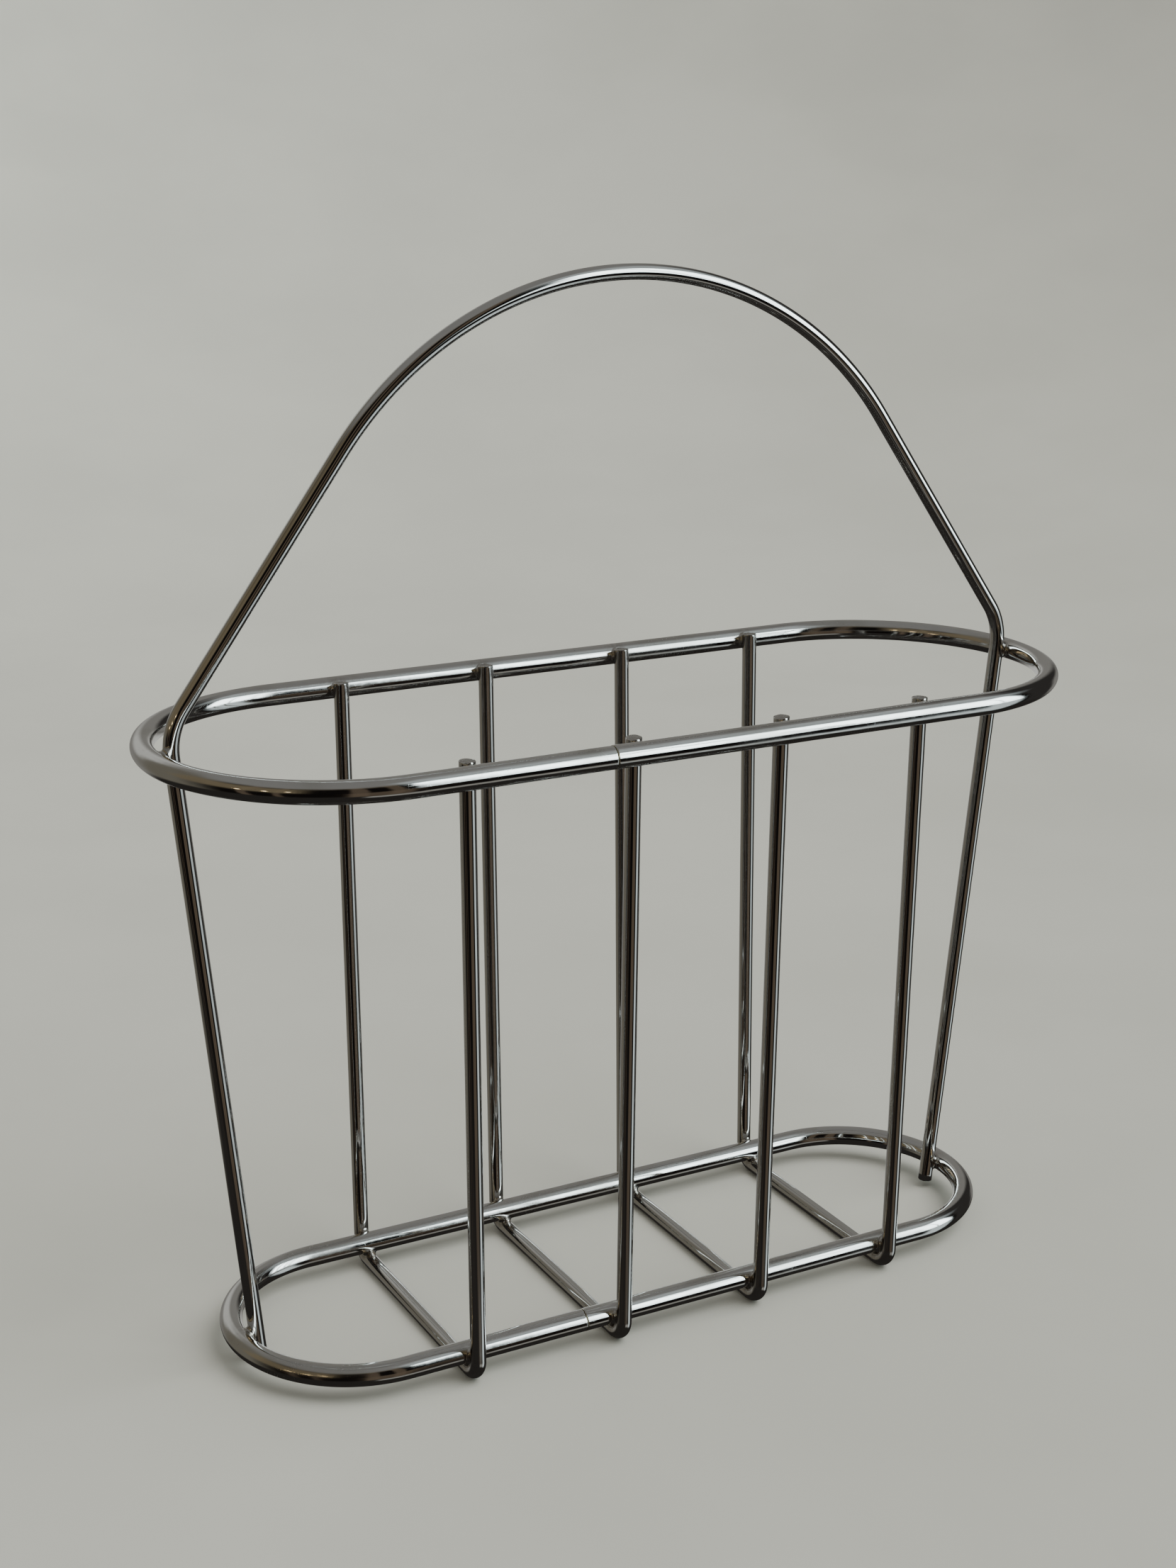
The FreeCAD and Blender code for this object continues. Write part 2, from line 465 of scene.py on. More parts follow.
upper = ringSizes("upper_ring")
lower = ringSizes("lower_ring")
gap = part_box("lower_ring")[0].z - 2 * rodRadius
reach = upper["tube"] + rodRadius + gap      # from a ring's axis to the axis of the rod beside it


# rings

ringLook = {
    "sides": 56,
    "step": 3 * mm,
    "bendStep": 2.2 * mm,
    "boreShare": 0.8,           # the bore's radius against the tube's
    "ripple": 0.035 * mm,       # slow unevenness of hand-bent and polished tube
    "flattening": 0.10 * mm,    # loss of height in the bends
    "flatteningEase": 20 * mm,  # length over which a bend loses it
    "seamDepth": 0.30 * mm,
    "seamHalfWidth": 0.19 * mm,
    "seamStep": 0.20 * mm,      # one end of the tube stands prouder than the other
    "seamMeander": 0.12 * mm,
    "dressedAhead": 7 * mm,     # how far each side of the joint is dressed back
    "dressedBehind": 4 * mm,
    # rings of points on both sides of the joint, in mm from it
    "seamMarks": (0.04, 0.08, 0.12, 0.16, 0.22, 0.35, 0.6, 1.0, 1.6, 2.3),
}


def seamMeander(turn, seed):
    # how far the joint strays along the tube, at each turn round it
    return ringLook["seamMeander"] * math.sin(3 * turn + seed)


def ringRuns(ring):
    def at(x, y):
        return Vector((x, y, ring["height"]))

    width, straight = ring["halfWidth"], ring["halfStraight"]
    x, y = Vector((width, 0, 0)), Vector((0, width, 0))
    return [
        lineRun(at(seamX, -width), at(straight, -width)),
        arcRun(at(straight, 0), -y, x, math.pi),
        lineRun(at(straight, width), at(-straight, width)),
        arcRun(at(-straight, 0), y, -x, math.pi),
        lineRun(at(-straight, -width), at(seamX, -width)),
    ]


def makeRing(name, node, ring, runs, seed, blemishes):
    whole = totalLength(runs)
    extra = []
    for mark in ringLook["seamMarks"]:
        extra += [mark * mm, whole - mark * mm]
    for blemish in blemishes:
        extra += [blemish["at"] + i * 0.3 * mm for i in range(-9, 10)]
    marks = [mark for mark in marksAlong(runs, ringLook["step"], ringLook["bendStep"], extra)
             if mark < whole - 1e-6]

    def radiusAt(distance, turn):
        point = onRuns(runs, distance)[0]
        fromSeam = distance if distance < whole / 2 else distance - whole
        beside = point + Vector((0, 0, math.sin(turn) * ring["tube"]))
        radius = ring["tube"] + ringLook["ripple"] * wobble(beside, 55, seed)
        if abs(point.x) > ring["halfStraight"]:
            share = min(1, (abs(point.x) - ring["halfStraight"]) / ringLook["flatteningEase"])
            radius -= ringLook["flattening"] * share * math.cos(turn) ** 2
        # the joint: one end a little proud, dressed back over a few millimetres, and a groove
        meander = seamMeander(turn, seed)
        proud = 0.5 + 0.5 * math.sin(turn + 0.6 + seed)
        if fromSeam > meander:
            radius += ringLook["seamStep"] * proud * math.exp(-fromSeam / ringLook["dressedAhead"])
        else:
            radius -= 0.5 * ringLook["seamStep"] * proud * math.exp(fromSeam / ringLook["dressedBehind"])
        radius -= ringLook["seamDepth"] * math.exp(-((fromSeam - meander) / ringLook["seamHalfWidth"]) ** 2)
        for blemish in blemishes:
            away = (distance - blemish["at"]) / blemish["length"]
            over = math.remainder(turn - blemish["turn"], 2 * math.pi) / blemish["spread"]
            radius += blemish["height"] * math.exp(-away ** 2 - over ** 2)
        return radius

    points, faces, grain = sweep(runs, marks, Vector((0, 0, 1)), radiusAt, ringLook["sides"],
                                 closed=True, inner=ringLook["boreShare"])
    ringPiece = makePiece(name, points, faces, ringChrome, {"stain": stainNear(points)}, grain)
    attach(ringPiece, "root")
    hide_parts(node)


# U-rods

uRodLook = {
    "sides": 40,
    "step": 4 * mm,
    "bendStep": 0.5 * mm,
    "topMarks": 24,             # closer rings of points near both tops, for the ground flat
    "topMarkStep": 0.5 * mm,
    "topFirstMark": 0.9 * mm,
    "topDrops": {-1: 0.1 * mm, 1: 0.9 * mm},  # front and back tops below the node's highest point
    "ripple": 0.02 * mm,
    "flatDepth": 0.42 * mm,     # ground flat at the top of each back leg
    "flatLength": 10 * mm,
    "flatFacing": (0.62, -0.78),
    "tops": (0.5, 2.3, 3.6, 5.2),  # which way each sheared top dips, in radians
}
cutEnd = {
    "trim": 0.5 * mm,
    "clear": 0.8 * mm,          # how far from a cut the rings between the two end ones keep
    "faceDepth": 1.2 * mm,      # how far down the bar the cut face may dip
    "faceShare": 0.985,         # share of the bar's radius that counts as cut face
    # share of the bar's radius, and how far back from the cut
    "edge": [(0.994, 0.36 * mm), (0.975, 0.2 * mm), (0.93, 0.06 * mm), (0.86, 0.0), (0.72, 0.0),
             (0.55, 0.0), (0.35, 0.0), (0.17, 0.0)],
}


def marksBetweenCuts(marks, whole):
    inside = [mark for mark in marks if cutEnd["clear"] < mark < whole - cutEnd["clear"]]
    return [cutEnd["trim"]] + inside + [whole - cutEnd["trim"]]


def onCutFace(point, end, way, outwards):
    along = (point - end).dot(way)
    radial = (point - end - way * along).length
    return along * outwards > -cutEnd["faceDepth"] and radial < rodRadius * cutEnd["faceShare"]


def legSplay():
    across = upper["halfWidth"] - lower["halfWidth"]
    up = upper["height"] - lower["height"]
    return math.acos(2 * reach / math.hypot(across, up)) - math.atan2(up, across)


def uRodPlace(number):
    # middle of the floor bar and the sideways lean of the front leg, from the node's box
    low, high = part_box("u_rod_%d" % number)
    sway = high.x - low.x - 2 * rodRadius
    barX = high.x - rodRadius
    return barX, -math.asin(sway / (high.z - rodRadius - cutEnd["trim"])), high.z


def uRodRuns(number):
    barX, lean, top = uRodPlace(number)
    splay = legSplay()
    swing = Matrix.Rotation(lean, 3, "Y")
    pivot = Vector((barX, 0, rodRadius))
    heights = {side: top - drop for side, drop in uRodLook["topDrops"].items()}

    def put(side, y, z):
        point = Vector((0, side * y, z - rodRadius))
        return pivot + (swing @ point if side < 0 else point)

    def legEnd(side):
        footY = lower["halfWidth"] + reach * math.cos(splay)
        footZ = lower["height"] + reach * math.sin(splay)
        return put(side, footY + (heights[side] - footZ) * math.tan(splay), heights[side])

    def bend(side, angle):
        return put(side, lower["halfWidth"] + reach * math.cos(angle),
                   lower["height"] + reach * math.sin(angle))

    def hub(side):
        return put(side, lower["halfWidth"], lower["height"])

    def wrap(side, quarterAngle, start):
        centre = hub(side)
        return arcRun(centre, start - centre, bend(side, quarterAngle) - centre, math.pi / 2 + splay)

    front = bend(-1, splay)
    back = bend(1, -math.pi / 2)
    return [
        lineRun(legEnd(-1), front),
        wrap(-1, splay - math.pi / 2, front),
        lineRun(bend(-1, -math.pi / 2), back),
        wrap(1, 0, back),
        lineRun(bend(1, splay), legEnd(1)),
    ]


def shearedTop(dip, depth, seed):
    # the face dips to one side and is torn a little, as a cropped bar's is
    def relief(x, y):
        slope = -depth * (0.5 + 0.5 * (x * math.cos(dip) + y * math.sin(dip)))
        torn = noise.noise(Vector((x * 1.7, y * 1.7, seed))) * 0.22 * mm
        fine = noise.noise(Vector((x * 5, y * 5, seed + 9))) * 0.07 * mm
        return slope + torn + fine
    return relief


def makeURod(number, runs):
    whole = totalLength(runs)
    first, step = uRodLook["topFirstMark"], uRodLook["topMarkStep"]
    extra = []
    for i in range(uRodLook["topMarks"]):
        extra += [first + i * step, whole - first - i * step]
    marks = marksAlong(runs, uRodLook["step"], uRodLook["bendStep"], extra)
    marks = marksBetweenCuts(marks, whole)

    def radiusAt(distance, turn):
        point = onRuns(runs, distance)[0]
        beside = point + Vector((math.cos(turn), math.sin(turn), 0)) * 0.02
        return rodRadius + uRodLook["ripple"] * (
            wobble(point, 60, number) + 0.5 * wobble(beside, 30, number + 5))

    ends = dict(cutEnd, startRelief=shearedTop(uRodLook["tops"][number - 1], 0.55 * mm, number),
                endRelief=shearedTop(0.8, 0.2 * mm, number + 20))
    points, faces, grain = sweep(runs, marks, Vector((1, 0, 0)), radiusAt, uRodLook["sides"], ends=ends)

    # grind the flat on the back leg's top and mark the cut faces as dressed
    backTop, backWay = onRuns(runs, whole)
    frontTop, frontWay = onRuns(runs, 0)
    facing = Vector((*uRodLook["flatFacing"], 0)).normalized()
    dressed = []
    for i, point in enumerate(points):
        down = (backTop - point).dot(backWay)
        cut = 0.0
        if down < uRodLook["flatLength"] and point.y > 0:
            face = rodRadius - uRodLook["flatDepth"] * (1 - max(down, 0) / uRodLook["flatLength"])
            away = (point - backTop).dot(facing) - (-backWay * down).dot(facing)
            if away > face:
                points[i] = point - facing * (away - face)
                cut = min(1, (away - face) / (0.05 * mm))
        for top, way, outwards in ((backTop, backWay, 1), (frontTop, frontWay, -1)):
            if onCutFace(point, top, way, outwards):
                cut = 1.0
        dressed.append(cut)
    name = "uRod%d" % number
    rod = makePiece(name, points, faces, rodChrome,
                    {"stain": stainNear(points), "dressed": dressed}, grain)
    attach(rod, "root")
    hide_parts("u_rod_%d" % number)


# handle

handleLook = {
    "sides": 40,
    "step": 4 * mm,
    "bendStep": 1.6 * mm,
    "kneeHeights": {-1: 292.5 * mm, 1: 295 * mm},     # left and right
    "kneeRadius": 30 * mm,
    "archRadius": 164.5 * mm,
    "archOffset": 1 * mm,
    "ripple": 0.025 * mm,
    "endHeight": 3.5 * mm,
    "clampAt": 41 * mm,         # a faint band where the bar was once held, low on the left leg
    "clampHalfWidth": 1.2 * mm,
    "clampDepth": 0.06 * mm,
}


def handleRuns():
    footX = lower["halfStraight"] + lower["halfWidth"] - reach
    waistX = upper["halfStraight"] + upper["halfWidth"] - reach
    splay = (waistX - footX) / (upper["height"] - lower["height"])
    centre = Vector((handleLook["archOffset"], 0, rodHigh.z - rodRadius - handleLook["archRadius"]))

    def legAt(side, height):
        return Vector((side * (footX + splay * (height - lower["height"])), 0, height))

    def side(sign):
        foot, knee = legAt(sign, handleLook["endHeight"]), legAt(sign, handleLook["kneeHeights"][sign])
        out = knee - centre
        angle = math.atan2(out.z, out.x) + sign * math.acos(handleLook["archRadius"] / out.length)
        archStart = centre + Vector((math.cos(angle), 0, math.sin(angle))) * handleLook["archRadius"]
        down, inwards = (foot - knee).normalized(), (archStart - knee).normalized()
        half = down.angle(inwards) / 2
        setback = handleLook["kneeRadius"] / math.tan(half)
        hub = knee + (down + inwards).normalized() * (handleLook["kneeRadius"] / math.sin(half))
        return foot, knee + down * setback, hub, knee + inwards * setback, archStart

    def bendAbout(hub, start, end):
        spoke, last = start - hub, end - hub
        quarter = (last - spoke * (last.dot(spoke) / spoke.length_squared)).normalized() * spoke.length
        return arcRun(hub, spoke, quarter, spoke.angle(last))

    leftFoot, leftLow, leftHub, leftHigh, leftArch = side(-1)
    rightFoot, rightLow, rightHub, rightHigh, rightArch = side(1)
    top = centre + Vector((0, 0, handleLook["archRadius"]))
    return [
        lineRun(leftFoot, leftLow), bendAbout(leftHub, leftLow, leftHigh),
        lineRun(leftHigh, leftArch), bendAbout(centre, leftArch, top), bendAbout(centre, top, rightArch),
        lineRun(rightArch, rightHigh), bendAbout(rightHub, rightHigh, rightLow),
        lineRun(rightLow, rightFoot),
    ]


def makeHandle(runs):
    whole = totalLength(runs)
    marks = marksAlong(runs, handleLook["step"], handleLook["bendStep"])
    marks = marksBetweenCuts(marks, whole)

    def radiusAt(distance, turn):
        point = onRuns(runs, distance)[0]
        radius = rodRadius + handleLook["ripple"] * wobble(point, 45, 11)
        fromClamp = (distance - handleLook["clampAt"]) / handleLook["clampHalfWidth"]
        return radius - handleLook["clampDepth"] * math.exp(-fromClamp ** 2)

    ends = dict(cutEnd, startRelief=shearedTop(1.2, 0.2 * mm, 31),
                endRelief=shearedTop(4.0, 0.25 * mm, 32))
    points, faces, grain = sweep(runs, marks, Vector((0, 1, 0)), radiusAt, handleLook["sides"], ends=ends)
    cuts = [(*onRuns(runs, 0), -1), (*onRuns(runs, whole), 1)]
    dressed = [1.0 if any(onCutFace(point, *cut) for cut in cuts) else 0.0 for point in points]
    bar = makePiece("handleRod", points, faces, rodChrome,
                    {"stain": stainNear(points), "dressed": dressed}, grain)
    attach(bar, "root")
    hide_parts("handle_rod")


# braze fillets: the hollow surface a ball leaves when it rolls round a contact, touching both pieces

brazeLook = {
    "arcSteps": 9,
    "turnSteps": 40,
    "wrapSteps": 12,
    "firstAway": 3.7 * mm,      # where the search for a ball of 1 mm starts
    "longestMove": 1.5 * mm,
    "buried": 1.25,             # depth of the first and last points, against the ball's radius
    "hidden": 1.004,            # depth of the rest, just inside the metal where they meet it
    "upperBall": 1.1 * mm,
    "footBall": 1.25 * mm,
    "handleBall": 1.3 * mm,
    "unevenness": 0.18,
    "stainReach": 5.0 * mm,
}
upperRuns = ringRuns(upper)
lowerRuns = ringRuns(lower)
rodRuns = {number: uRodRuns(number) for number in (1, 2, 3, 4)}
barRuns = handleRuns()


def closestApproach(ringPath, rodPath, guess):
    onRing = nearestOnRuns(ringPath, guess)
    for _ in range(60):
        onRod = nearestOnRuns(rodPath, onRing)
        onRing = nearestOnRuns(ringPath, onRod)
    return onRing, onRod


def spineAt(onRing, onRod, way):
    # where the two surfaces nearly touch, which way the rod lies, and the rod's direction
    out = (onRod - onRing).normalized()
    way = (way - out * way.dot(out)).normalized()
    return onRing + out * (upper["tube"] + gap / 2), out, way


def crossingSpine(ringPath, rodPath, guess):
    onRing, onRod = closestApproach(ringPath, rodPath, guess)
    ahead = nearestOnRuns(rodPath, onRod + Vector((0, 0, 2 * mm)))
    return [spineAt(onRing, onRod, ahead - onRod)]


def wrappedSpine(runs, bendIndex, ringPath):
    bend = runs[bendIndex]
    spine = []
    for i in range(brazeLook["wrapSteps"] + 1):
        onRod, way = onRun(bend, bend["length"] * i / brazeLook["wrapSteps"])
        spine.append(spineAt(nearestOnRuns(ringPath, onRod), onRod, way))
    return spine


def ballCentre(spot, towards, out, ball, ringPath, rodPath):
    # Newton's method for how far out and how far over the ball sits
    away, over = brazeLook["firstAway"] * math.sqrt(ball / mm), 0.0
    longest = brazeLook["longestMove"]

    def misses(away, over):
        centre = spot + towards * away + out * over
        return ((nearestOnRuns(ringPath, centre) - centre).length - upper["tube"] - ball,
                (nearestOnRuns(rodPath, centre) - centre).length - rodRadius - ball)

    for _ in range(12):
        ringMiss, rodMiss = misses(away, over)
        step = 1e-6
        ringAway, rodAway = misses(away + step, over)
        ringOver, rodOver = misses(away, over + step)
        a, b = (ringAway - ringMiss) / step, (ringOver - ringMiss) / step
        c, d = (rodAway - rodMiss) / step, (rodOver - rodMiss) / step
        scale = a * d - b * c
        away -= max(-longest, min(longest, (d * ringMiss - b * rodMiss) / scale))
        over -= max(-longest, min(longest, (a * rodMiss - c * ringMiss) / scale))
    return spot + towards * away + out * over


def addFillet(points, faces, hollows, spine, ball, ringPath, rodPath, seed):
    stations = []
    half = brazeLook["turnSteps"] // 2
    for end, sign in ((0, -1), (len(spine) - 1, 1)):
        spot, out, way = spine[end]
        sideways = out.cross(way).normalized()
        for i in range(half):
            turn = math.pi * (i + (0.5 if len(spine) == 1 else 0)) / half
            stations.append((end, sideways * (-sign * math.cos(turn)) + way * (sign * math.sin(turn))))
        rail = range(1, len(spine) - 1) if sign < 0 else range(len(spine) - 2, 0, -1)
        for k in rail:
            stations.append((k, spine[k][1].cross(spine[k][2]).normalized() * sign))
    steps = brazeLook["arcSteps"]
    firsts = []
    for k, towards in stations:
        spot, out, _ = spine[k]
        size = ball * (1 + brazeLook["unevenness"] * wobble(spot + towards * 4 * mm, 300, seed))
        centre = ballCentre(spot, towards, out, size, ringPath, rodPath)
        toRing = (nearestOnRuns(ringPath, centre) - centre).normalized()
        toRod = (nearestOnRuns(rodPath, centre) - centre).normalized()
        firsts.append(len(points))
        sweepAngle = toRing.angle(toRod)
        for i in range(-1, steps + 2):
            share = min(max(i / steps, 0), 1)
            lead = (toRing * math.sin((1 - share) * sweepAngle) + toRod * math.sin(share * sweepAngle))
            lead /= math.sin(sweepAngle)
            depth = brazeLook["buried" if i in (-1, steps + 1) else "hidden"]
            points.append(centre + lead * size * depth)
            hollows.append(math.sin(math.pi * share) * 0.8 + 0.2)
    rows = steps + 3
    cores = {}
    for k, _ in stations:
        if k not in cores:
            spot, out, _ = spine[k]
            cores[k] = (len(points), len(points) + 1)
            points.extend([spot - out * 0.8 * mm, spot + out * 0.8 * mm])
            hollows.extend([0.0, 0.0])
    for i, first in enumerate(firsts):
        j = (i + 1) % len(firsts)
        second = firsts[j]
        for row in range(rows - 1):
            faces.append((first + row, second + row, second + row + 1, first + row + 1))
        here, there = cores[stations[i][0]], cores[stations[j][0]]
        for core, edge, turned in ((0, 0, False), (1, rows - 1, True)):
            face = [first + edge, second + edge, there[core], here[core]]
            if here[core] == there[core]:
                face.pop()
            faces.append(tuple(face) if turned else tuple(face[::-1]))


def upperGuess(number, side):
    barX, lean, _ = uRodPlace(number)
    x = barX + (math.sin(lean) * (upper["height"] - rodRadius) if side < 0 else 0)
    return Vector((x, side * (upper["halfWidth"] - reach / 2), upper["height"]))


fillets = []      # piece, node, finish, then each fillet's spine and paths
for label, side, bend in (("Front", -1, 1), ("Back", 1, 3)):
    fillets.append(("brazeUpper" + label, "braze_upper_" + label.lower(), brazeOpen, [
        (crossingSpine(upperRuns, rodRuns[n], upperGuess(n, side)), brazeLook["upperBall"],
         upperRuns, rodRuns[n])
        for n in rodRuns]))
    fillets.append(("brazeFoot" + label, "braze_foot_" + label.lower(), brazeHollow, [
        (wrappedSpine(rodRuns[n], bend, lowerRuns), brazeLook["footBall"], lowerRuns, rodRuns[n])
        for n in rodRuns]))
for label, ring, ringPath in (("Upper", upper, upperRuns), ("Lower", lower, lowerRuns)):
    tip = ring["halfStraight"] + ring["halfWidth"] - reach / 2
    fillets.append(("brazeHandle" + label, "braze_handle_" + label.lower(), brazeOpen, [
        (crossingSpine(ringPath, barRuns, Vector((sign * tip, 0, ring["height"]))), brazeLook["handleBall"],
         ringPath, barRuns)
        for sign in (-1, 1)]))
contactSpots = [spot for _, _, _, each in fillets for spine, _, _, _ in each for spot, _, _ in spine]


def stainNear(points):
    values = []
    for point in points:
        nearest = min((point - spot).length for spot in contactSpots)
        values.append(math.exp(-(nearest / brazeLook["stainReach"]) ** 2))
    return values


for seed, (name, node, finish, each) in enumerate(fillets):
    points, faces, hollows = [], [], []
    for index, (spine, ball, ringPath, rodPath) in enumerate(each):
        addFillet(points, faces, hollows, spine, ball, ringPath, rodPath, seed * 5 + index)
    braze = makePiece(name, points, faces, finish, {"stain": hollows})
    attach(braze, "root")
    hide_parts(node)
print("braze fillets made")

upperBlemishes = [
    {"at": totalLength(upperRuns) - 51 * mm, "length": 0.9 * mm, "turn": -1.35, "spread": 0.16,
     "height": 0.32 * mm},
    {"at": totalLength(upperRuns) - 8 * mm, "length": 1.2 * mm, "turn": -1.75, "spread": 0.10,
     "height": -0.12 * mm},
]
makeRing("upperRing", "upper_ring", upper, upperRuns, 1, upperBlemishes)
makeRing("lowerRing", "lower_ring", lower, lowerRuns, 2, [])
print("rings made")
for number in rodRuns:
    makeURod(number, rodRuns[number])
print("U-rods made")
makeHandle(barRuns)
print("handle made")


# filler in the two butt joints

seamLook = {"halfWidth": 0.17 * mm, "sides": 96, "proud": 0.03 * mm}


def makeSeams():
    points, faces = [], []
    for ring, seed in ((upper, 1), (lower, 2)):
        rows = []
        for across, drop in ((-1.0, 0.7), (-0.8, 0.12), (-0.35, 0.0), (0.35, 0.0), (0.8, 0.12), (1.0, 0.7)):
            rows.append(len(points))
            for i in range(seamLook["sides"]):
                turn = 2 * math.pi * i / seamLook["sides"]
                meander = seamMeander(turn, seed)
                swell = noise.noise(Vector((math.cos(turn) * 3, math.sin(turn) * 3, seed)))
                radius = ring["tube"] + seamLook["proud"] * (1 + 2 * swell) - drop * mm
                width = seamLook["halfWidth"] * (1 + 0.6 * swell)
                points.append(Vector((seamX + meander + across * width,
                                      -ring["halfWidth"] - math.sin(turn) * radius,
                                      ring["height"] + math.cos(turn) * radius)))
        for first, second in zip(rows, rows[1:] + rows[:1]):
            stitch(faces, first, second, seamLook["sides"])
    seams = makePiece("ringSeams", points, faces, solder)
    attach(seams, "root")
    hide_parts("braze_ring_seams")


makeSeams()
for node in ("upper_ring_spigot", "lower_ring_spigot"):
    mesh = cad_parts[node].data
    mesh.materials.clear()
    mesh.materials.append(turnedSteel)
print("joints made")


# the room the chrome reflects, the floor and the light

room = {
    "dark": (0.006, 0.005, 0.0045),
    "wall": (0.205, 0.199, 0.184),
    "brightWall": (0.54, 0.54, 0.51),
    "leftSide": (0.135, 0.125, 0.100),
    "curtain": (0.030, 0.028, 0.026),
    "ceiling": (0.19, 0.187, 0.178),
    "floor": (0.022, 0.020, 0.018),
    "litFloor": (0.33, 0.32, 0.29),
    "window": (4.6, 5.2, 5.25),
    "sill": (0.74, 0.83, 0.84),
    "lamp": (7.0, 5.2, 2.8),
    "brown": (0.115, 0.088, 0.062),
    "olive": (0.165, 0.135, 0.085),
    # bearings in degrees, from straight behind the camera round to its right
    "windowFrom": 53, "windowTo": 96, "windowLow": -2, "windowHigh": 38,
    "bars": (62, 79),
    "posts": ((18, 5), (39, 4), (-27, 2), (-47, 3)),      # bearing and half width
    "lamps": ((-34, 13), (-21, 17), (-50, 10)),           # bearing and rise
    # colour, bearings, rises, softness and amount: first on the walls, then over floor and ceiling
    "wallPatches": (
        ("wall", (138, 158), (-22, 2), 6, 1.0),
        ("brightWall", (-164, -130), (4, 34), 8, 0.8),
        ("olive", (-95, -14), (6, 40), 8, 0.85),
        ("olive", (-60, 50), (44, 84), 9, 0.6),
    ),
    "overPatches": (
        ("litFloor", (24, 84), (-46, -34), 4, 0.8),
        ("brown", (12, 50), (-32, 0), 4, 0.7),
        ("sill", (70, 97), (-44, -2), 5, 0.85),
        ("sill", (50, 118), (32, 60), 9, 0.42),
    ),
}


def makeRoom():
    world = bpy.data.worlds.new("room")
    world.use_nodes = True
    bpy.context.scene.world = world
    tree = Tree(world.node_tree)
    way = tree.node("ShaderNodeTexCoord", out="Generated")
    turn = math.radians(camera["turn"])

    def share(direction):
        return tree.node("ShaderNodeVectorMath", {"operation": "DOT_PRODUCT"},
                         {0: way, 1: direction}, "Value")

    behind = share((-math.sin(turn), -math.cos(turn), 0))
    right = share((math.cos(turn), -math.sin(turn), 0))
    up = share((0, 0, 1))
    degree = math.pi / 180
    bearing = tree.node("ShaderNodeMath", {"operation": "ARCTAN2"}, {0: right, 1: behind}) / degree
    rise = tree.node("ShaderNodeMath", {"operation": "ARCSINE"}, {0: up}) / degree

    def band(value, low, high, soft):
        return tree.rise(value, low - soft, low + soft) * tree.rise(value, high + soft, high - soft)

    def patch(colour, new, bearings, rises, soft, amount):
        return tree.mix(band(bearing, *bearings, soft) * band(rise, *rises, soft) * amount, colour, room[new])

    # behind the camera it is dark, with a few uprights; its left side opens on the pale wall
    colour = tree.mix(tree.rise(bearing, -58, -92), room["dark"], room["leftSide"])
    for at, half in room["posts"]:
        colour = tree.mix(band(bearing, at - half, at + half, 1.5) * 0.75, colour, room["brown"])
    colour = tree.mix(tree.rise(bearing, -112, -146), colour, room["wall"])
    colour = tree.mix(tree.rise(bearing, 100, 108), colour, room["curtain"])
    colour = tree.mix(tree.rise(bearing, 150, 166), colour, room["wall"])
    colour = tree.mix(tree.rise(abs(bearing), 158, 174) * band(rise, -24, 4, 5), colour, room["brightWall"])
    for each in room["wallPatches"]:
        colour = patch(colour, *each)
    colour = tree.mix(tree.rise(rise, 38, 56), colour, room["ceiling"])
    colour = tree.mix(tree.rise(rise, -24, -34), colour, room["floor"])
    for each in room["overPatches"]:
        colour = patch(colour, *each)
    glass = band(bearing, room["windowFrom"], room["windowTo"], 3.5) * band(
        rise, room["windowLow"], room["windowHigh"], 4)
    for bar in room["bars"]:
        glass = glass * (1 - 0.8 * band(bearing, bar - 0.9, bar + 0.9, 0.6))
    glass = glass * (1 - 0.7 * band(rise, 4, 5.5, 0.8))
    colour = tree.mix(glass, colour, room["window"])
    for bearingAt, riseAt in room["lamps"]:
        spot = band(bearing, bearingAt - 1.3, bearingAt + 1.3, 0.6) * band(rise, riseAt - 1, riseAt + 1, 0.6)
        colour = tree.mix(spot, colour, room["lamp"])
    shader = tree.node("ShaderNodeBackground", {}, {"Color": colour, "Strength": 1.0})
    tree.node("ShaderNodeOutputWorld", {}, {"Surface": shader})


floorLook = {
    "radius": 1.2,         # of the flat part
    "curve": 2.4,          # radius of the turn up into the backdrop
    "height": 3.0,
    "colour": (0.63, 0.63, 0.555),
    "shade": 0.93,         # brightness of its faint clouds
    "flatRings": 8,
    "curveRings": 16,
    "sides": 96,
}


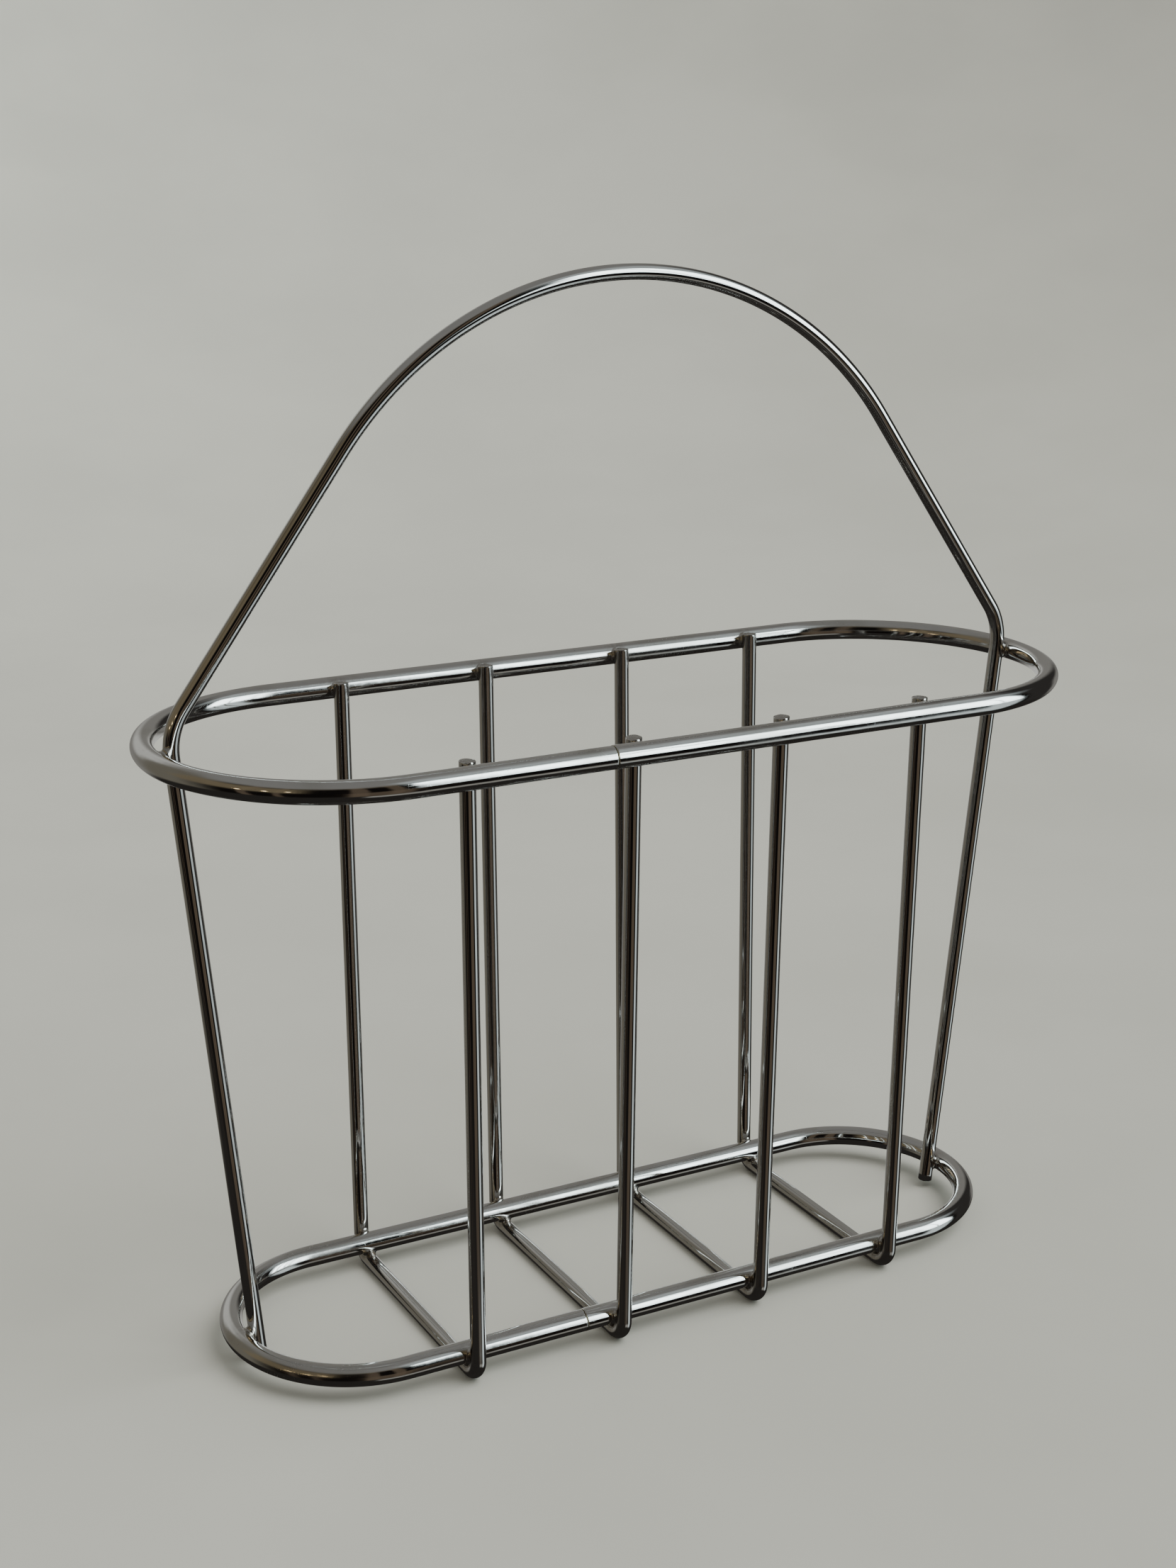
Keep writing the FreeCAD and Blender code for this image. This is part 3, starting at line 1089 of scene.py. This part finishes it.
def makeFloor():
    # a wide shallow bowl: flat under the rack, turning up all round so that no horizon shows
    flat, curved, sides = floorLook["flatRings"], floorLook["curveRings"], floorLook["sides"]
    profile = [(floorLook["radius"] * i / flat, 0.0) for i in range(1, flat + 1)]
    for i in range(1, curved + 1):
        turn = math.pi / 2 * i / curved
        profile.append((floorLook["radius"] + floorLook["curve"] * math.sin(turn),
                        floorLook["curve"] * (1 - math.cos(turn))))
    profile.append((floorLook["radius"] + floorLook["curve"], floorLook["height"]))
    points, faces = [Vector((0, 0, 0))], []
    for radius, height in profile:
        for i in range(sides):
            turn = 2 * math.pi * i / sides
            points.append(Vector((radius * math.cos(turn), radius * math.sin(turn), height)))
    for i in range(sides):
        faces.append((0, 1 + i, 1 + (i + 1) % sides))
    for row in range(len(profile) - 1):
        stitch(faces, 1 + row * sides, 1 + (row + 1) * sides, sides, flip=True)
    paint, tree, place = newFinish("paleFloor")
    cloud = tree.noise(place, 3, 4, 0.55)
    colour = tree.mix(tree.rise(cloud, 0.3, 0.7), floorLook["colour"],
                      tuple(floorLook["shade"] * part for part in floorLook["colour"]))
    shader = tree.node("ShaderNodeBsdfPrincipled", {},
                       {"Base Color": colour, "Roughness": 0.85, "Specular IOR Level": 0.1}, "BSDF")
    tree.node("ShaderNodeOutputMaterial", {}, {"Surface": shader})
    floor = makePiece("floor", points, faces, paint)
    # the plate mirrors the darker room instead of the pale floor
    floor.visible_glossy = False
    floor.visible_diffuse = False


lampLook = {
    "key": {"from": (0.8, -0.75, 1.5), "spread": 50, "strength": 2.15},
    "fill": {"from": (-0.9, -0.4, 1.6), "spread": 110, "strength": 1.05},
}


def makeLamps():
    # two wide soft suns light the floor; the plate doesn't mirror them
    for name, look in lampLook.items():
        data = bpy.data.lights.new(name, "SUN")
        data.angle = math.radians(look["spread"])
        data.energy = look["strength"]
        lamp = bpy.data.objects.new(name, data)
        bpy.context.scene.collection.objects.link(lamp)
        lamp.rotation_euler = (-Vector(look["from"])).to_track_quat("-Z", "Y").to_euler()
        lamp.visible_camera = False
        lamp.visible_glossy = False


makeRoom()
makeFloor()
makeLamps()
print("room, floor and lamps made")
